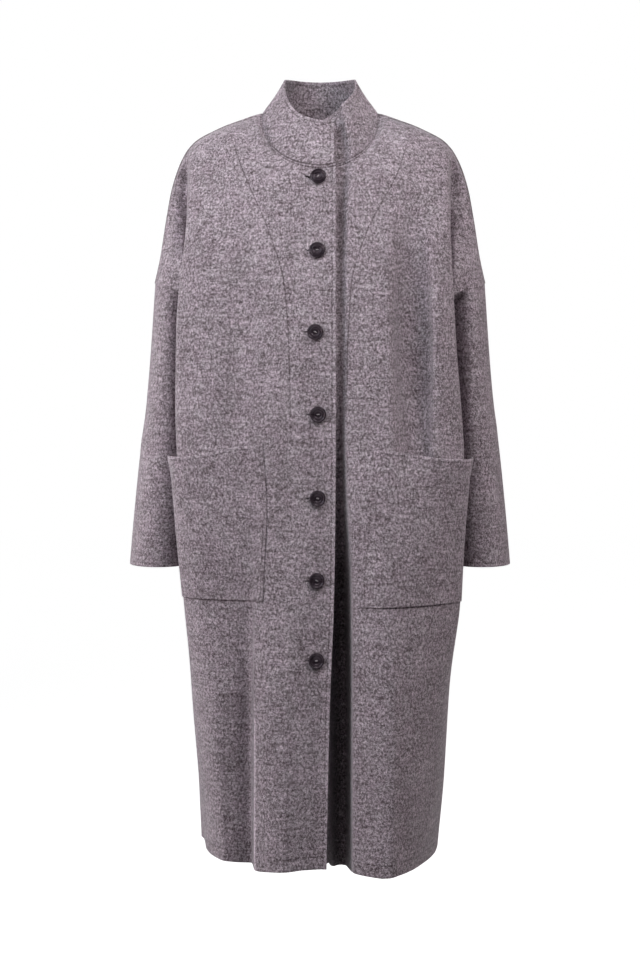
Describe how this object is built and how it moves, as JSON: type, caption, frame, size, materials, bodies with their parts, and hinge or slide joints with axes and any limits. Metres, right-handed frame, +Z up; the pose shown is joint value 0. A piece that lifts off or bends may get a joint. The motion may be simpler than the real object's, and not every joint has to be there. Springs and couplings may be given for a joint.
{
  "type": "wool coat",
  "caption": "Long oversized stand-collar coat with dropped shoulders and patch pockets, hollow as worn, buttoned at the front.",
  "frame": {"origin": "middle of the neck hole at the height of the shoulder's highest point, where the wearer's shoulders carry the coat", "axes": "+Z up, -Y to the front, +X to the wearer's left"},
  "size_m": [0.553, 0.396, 1.1184],
  "materials": {
    "wool_melange": "felted grey melange wool",
    "button_horn": "near-black, satin"
  },
  "bodies": {
    "root": {"front_right_centre": "wool_melange", "front_right_side": "wool_melange", "front_left_centre": "wool_melange", "front_left_side": "wool_melange", "back_right": "wool_melange", "back_left": "wool_melange", "sleeve_right": "wool_melange", "sleeve_left": "wool_melange", "collar": "wool_melange", "pocket_right": "wool_melange", "pocket_left": "wool_melange", "button_1": "button_horn", "button_2": "button_horn", "button_3": "button_horn", "button_4": "button_horn", "button_5": "button_horn", "button_6": "button_horn", "button_7": "button_horn"}
  },
  "joints": []
}
